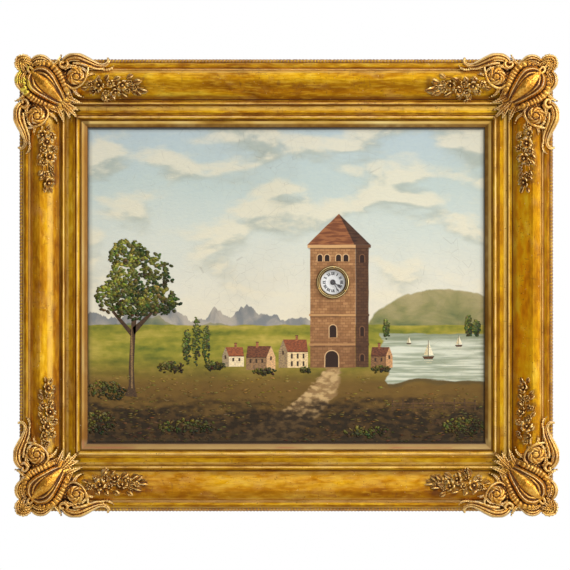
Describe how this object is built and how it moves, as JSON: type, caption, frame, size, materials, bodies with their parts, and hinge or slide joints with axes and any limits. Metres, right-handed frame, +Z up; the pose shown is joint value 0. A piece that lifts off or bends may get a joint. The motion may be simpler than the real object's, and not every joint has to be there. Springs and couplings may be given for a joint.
{
  "type": "picture clock",
  "caption": "Wall clock built as a gilt picture frame: a small enamel dial shows through a painted landscape, and the picture opens as a door on a shallow case.",
  "frame": {"origin": "centre of the hanging hole on the wall plane", "axes": "+X to the viewer's right along the frame's long side, +Y into the wall, +Z up"},
  "size_m": [1.004, 0.1545, 0.854],
  "materials": {
    "gilt_rail": "old water gilding over red bole on gessoed pine, burnished, rubbed and dusty in the hollows",
    "gilt_ornament": "oil-gilded composition ornament, matt ground and burnished highlights",
    "gilt_slip": "pale worn gilding with bole showing at the edge",
    "painted_canvas": "oil landscape on canvas laid on a panel, finely cracked and varnished",
    "pine": "planed pine, aged and stained brown",
    "clock_brass": "turned and lacquered brass",
    "movement_steel": "grained steel",
    "blued_steel": "dark blued steel",
    "gong_steel": "blued wire",
    "iron": "black iron",
    "enamel": "white enamel with painted numerals",
    "clear_glass": "convex crown glass"
  },
  "bodies": {
    "case": {"case_left_side": "pine", "case_right_side": "pine", "case_top": "pine", "case_bottom": "pine", "case_back": "pine", "seat_board": "pine", "seat_brackets": "pine", "hanger_plate": "iron", "case_hinge_leaves": "clock_brass", "hinge_pins": "movement_steel", "bolt_plate": "clock_brass", "case_screws": "movement_steel", "gong_stand": "iron", "gong": "gong_steel", "front_plate": "clock_brass", "back_plate": "clock_brass", "plate_pillars": "clock_brass", "pillar_nuts": "movement_steel", "pendulum_cock": "clock_brass", "dial": "enamel", "dial_plate": "clock_brass"},
    "door": {"frame_top_rail": "gilt_rail", "frame_bottom_rail": "gilt_rail", "frame_left_rail": "gilt_rail", "frame_right_rail": "gilt_rail", "sight_slip": "gilt_slip", "corner_ornaments": "gilt_ornament", "flower_sprays": "gilt_ornament", "picture_panel": "painted_canvas", "panel_battens": "pine", "bezel": "clock_brass", "dial_glass": "clear_glass", "bezel_screws": "clock_brass", "door_hinge_leaves": "clock_brass", "bolt_keeper": "clock_brass", "door_screws": "clock_brass"},
    "bolt": {"door_bolt": "movement_steel"},
    "centre_arbor": {"centre_wheel": "clock_brass", "cannon_pinion": "movement_steel", "minute_hand": "blued_steel"},
    "minute_wheel": {"minute_wheel": "clock_brass"},
    "hour_pipe": {"hour_wheel": "clock_brass", "hour_hand": "blued_steel"},
    "third_arbor": {"third_wheel": "clock_brass"},
    "escape_arbor": {"escape_wheel": "clock_brass"},
    "going_drum": {"going_barrel": "clock_brass", "going_mainspring": "movement_steel"},
    "going_winder": {"going_arbor": "movement_steel"},
    "going_click": {"going_click": "movement_steel"},
    "strike_drum": {"strike_barrel": "clock_brass", "strike_mainspring": "movement_steel"},
    "strike_winder": {"strike_arbor": "movement_steel"},
    "strike_click": {"strike_click": "movement_steel"},
    "pin_arbor": {"pin_wheel": "clock_brass"},
    "fly_arbor": {"fly": "movement_steel"},
    "hammer": {"hammer": "movement_steel"},
    "pallet_arbor": {"pallets": "movement_steel"},
    "pendulum": {"pendulum_rod": "movement_steel"},
    "bob": {"pendulum_bob": "clock_brass"},
    "nut": {"rating_nut": "clock_brass"}
  },
  "joints": [
    {"name": "door_swing", "type": "hinge", "parent": "case", "child": "door", "pos_m": [-0.445, -0.0775, -0.379], "axis": [0, 0, -1], "range_deg": [0, 95]},
    {"name": "bolt_slide", "type": "slide", "parent": "case", "child": "bolt", "axis": [0, 0, 1], "range_m": [0, 0.012]},
    {"name": "minute_hand_turn", "type": "hinge", "parent": "case", "child": "centre_arbor", "pos_m": [0.086, -0.05, -0.3734], "axis": [0, 1, 0], "continuous": true},
    {"name": "minute_wheel_turn", "type": "hinge", "parent": "case", "child": "minute_wheel", "pos_m": [0.07751, -0.05, -0.38189], "axis": [0, 1, 0], "continuous": true},
    {"name": "hour_hand_turn", "type": "hinge", "parent": "case", "child": "hour_pipe", "pos_m": [0.086, -0.05, -0.3734], "axis": [0, 1, 0], "continuous": true},
    {"name": "third_wheel_turn", "type": "hinge", "parent": "case", "child": "third_arbor", "pos_m": [0.076, -0.05, -0.3516], "axis": [0, 1, 0], "continuous": true},
    {"name": "escape_wheel_turn", "type": "hinge", "parent": "case", "child": "escape_arbor", "pos_m": [0.086, -0.05, -0.3317], "axis": [0, 1, 0], "continuous": true},
    {"name": "going_barrel_turn", "type": "hinge", "parent": "case", "child": "going_drum", "pos_m": [0.052, -0.05, -0.3852], "axis": [0, 1, 0], "continuous": true},
    {"name": "going_winding", "type": "hinge", "parent": "case", "child": "going_winder", "pos_m": [0.052, -0.05, -0.3852], "axis": [0, 1, 0], "continuous": true},
    {"name": "going_click_lift", "type": "hinge", "parent": "case", "child": "going_click", "pos_m": [0.038, -0.05, -0.3694], "axis": [0, -1, 0], "range_deg": [0, 12], "stiffness_Nm_per_rad": 0.002, "springref_deg": -5.73},
    {"name": "pin_wheel_turn", "type": "hinge", "parent": "case", "child": "pin_arbor", "pos_m": [0.125, -0.05, -0.3526], "axis": [0, 1, 0], "continuous": true},
    {"name": "strike_barrel_turn", "type": "hinge", "parent": "case", "child": "strike_drum", "pos_m": [0.12, -0.05, -0.3852], "axis": [0, 1, 0], "continuous": true},
    {"name": "strike_winding", "type": "hinge", "parent": "case", "child": "strike_winder", "pos_m": [0.12, -0.05, -0.3852], "axis": [0, 1, 0], "continuous": true},
    {"name": "strike_click_lift", "type": "hinge", "parent": "case", "child": "strike_click", "pos_m": [0.134, -0.05, -0.3694], "axis": [0, 1, 0], "range_deg": [0, 12], "stiffness_Nm_per_rad": 0.002, "springref_deg": -5.73},
    {"name": "fly_turn", "type": "hinge", "parent": "case", "child": "fly_arbor", "pos_m": [0.112, -0.05, -0.3416], "axis": [0, 1, 0], "continuous": true},
    {"name": "hammer_lift", "type": "hinge", "parent": "case", "child": "hammer", "pos_m": [0.148, -0.05, -0.3614], "axis": [0, -1, 0], "range_deg": [0, 12]},
    {"name": "pendulum_swing", "type": "hinge", "parent": "case", "child": "pendulum", "pos_m": [0.086, -0.019, -0.3117], "axis": [0, 1, 0], "range_deg": [-4, 4]},
    {"name": "pallet_swing", "type": "hinge", "parent": "case", "child": "pallet_arbor", "pos_m": [0.086, -0.05, -0.3117], "axis": [0, 1, 0], "range_deg": [-4, 4]},
    {"name": "bob_height", "type": "slide", "parent": "pendulum", "child": "bob", "axis": [0, 0, 1], "range_m": [-0.003, 0.003]},
    {"name": "rating_nut_turn", "type": "hinge", "parent": "bob", "child": "nut", "pos_m": [0.086, -0.019, -0.6465], "axis": [0, 0, 1], "range_deg": [-1545, 1545]}
  ],
  "couplings": [
    {"joint": "minute_wheel_turn", "follows": "minute_hand_turn", "ratio": -0.33333},
    {"joint": "hour_hand_turn", "follows": "minute_hand_turn", "ratio": 0.083333},
    {"joint": "third_wheel_turn", "follows": "minute_hand_turn", "ratio": -9},
    {"joint": "escape_wheel_turn", "follows": "minute_hand_turn", "ratio": 90},
    {"joint": "going_barrel_turn", "follows": "minute_hand_turn", "ratio": -0.125},
    {"joint": "strike_barrel_turn", "follows": "pin_wheel_turn", "ratio": -0.125},
    {"joint": "fly_turn", "follows": "pin_wheel_turn", "ratio": -8},
    {"joint": "pallet_swing", "follows": "pendulum_swing", "ratio": 1},
    {"joint": "rating_nut_turn", "follows": "bob_height", "rad_per_m": 8976}
  ]
}
